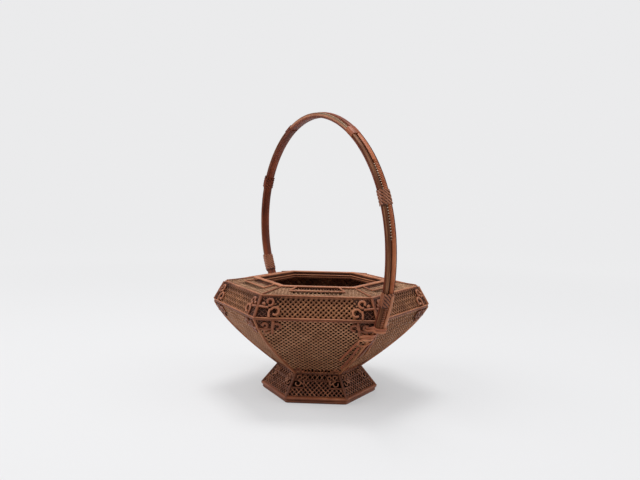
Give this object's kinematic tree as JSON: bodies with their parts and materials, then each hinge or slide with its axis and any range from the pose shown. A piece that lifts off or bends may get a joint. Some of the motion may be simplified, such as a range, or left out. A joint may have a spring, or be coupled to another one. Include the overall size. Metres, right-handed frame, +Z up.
{
  "type": "woven flower basket",
  "caption": "Hexagonal woven bamboo flower basket with sloping lattice sides, a woven deck round an open mouth, a flared foot and a tall fixed arched handle.",
  "frame": {"origin": "on the ground under the middle of the basket, level with the underside of the base rail", "axes": "+Z up, -Y out of the front side, the handle's arch crosses from the front right corner to the back left corner"},
  "size_m": [0.3, 0.332, 0.3825],
  "materials": {
    "red_lath": "split bamboo lath, stained red brown, satin from handling",
    "dark_lath": "split bamboo, dark smoke brown, satin",
    "body_weave": "fine split bamboo weave, brown, dull satin",
    "deck_straw": "fine split bamboo weave, pale straw brown, dull satin",
    "handle_brown": "smooth bent bamboo, dark red brown, polished",
    "handle_amber": "round bamboo, amber brown, polished",
    "inlay_grey": "thin twined strip, dark grey brown with pale stitches",
    "binding_cane": "wound cane strip, amber, satin"
  },
  "bodies": {
    "root": {"base_rail_lower": "dark_lath", "foot_frame": "dark_lath", "foot_weave": "dark_lath", "neck_rail": "red_lath", "waist_rail": "red_lath", "shoulder_rail": "red_lath", "mouth_rail": "red_lath", "mouth_collar": "red_lath", "floor_panel": "body_weave", "deck_weave": "deck_straw", "lower_panel_1": "body_weave", "band_panel_1": "body_weave", "lower_rib_1": "red_lath", "band_post_1": "red_lath", "deck_mitre_1": "red_lath", "deck_frame_1": "red_lath", "lower_panel_2": "body_weave", "band_panel_2": "body_weave", "lower_rib_2": "red_lath", "band_post_2": "red_lath", "deck_mitre_2": "red_lath", "deck_frame_2": "red_lath", "lower_panel_3": "body_weave", "band_panel_3": "body_weave", "lower_rib_3": "red_lath", "band_post_3": "red_lath", "deck_mitre_3": "red_lath", "deck_frame_3": "red_lath", "lower_panel_4": "body_weave", "band_panel_4": "body_weave", "lower_rib_4": "red_lath", "band_post_4": "red_lath", "deck_mitre_4": "red_lath", "deck_frame_4": "red_lath", "lower_panel_5": "body_weave", "band_panel_5": "body_weave", "lower_rib_5": "red_lath", "band_post_5": "red_lath", "deck_mitre_5": "red_lath", "deck_frame_5": "red_lath", "lower_panel_6": "body_weave", "band_panel_6": "body_weave", "lower_rib_6": "red_lath", "band_post_6": "red_lath", "deck_mitre_6": "red_lath", "deck_frame_6": "red_lath", "handle_lath": "handle_brown", "handle_rod_left": "handle_amber", "handle_rod_right": "handle_amber", "handle_inlay": "inlay_grey", "handle_collar_front": "red_lath", "handle_binding_front": "binding_cane", "foot_binding_front": "binding_cane", "corner_knot_front": "binding_cane", "handle_collar_back": "red_lath", "handle_binding_back": "binding_cane", "foot_binding_back": "binding_cane", "corner_knot_back": "binding_cane"}
  },
  "joints": []
}
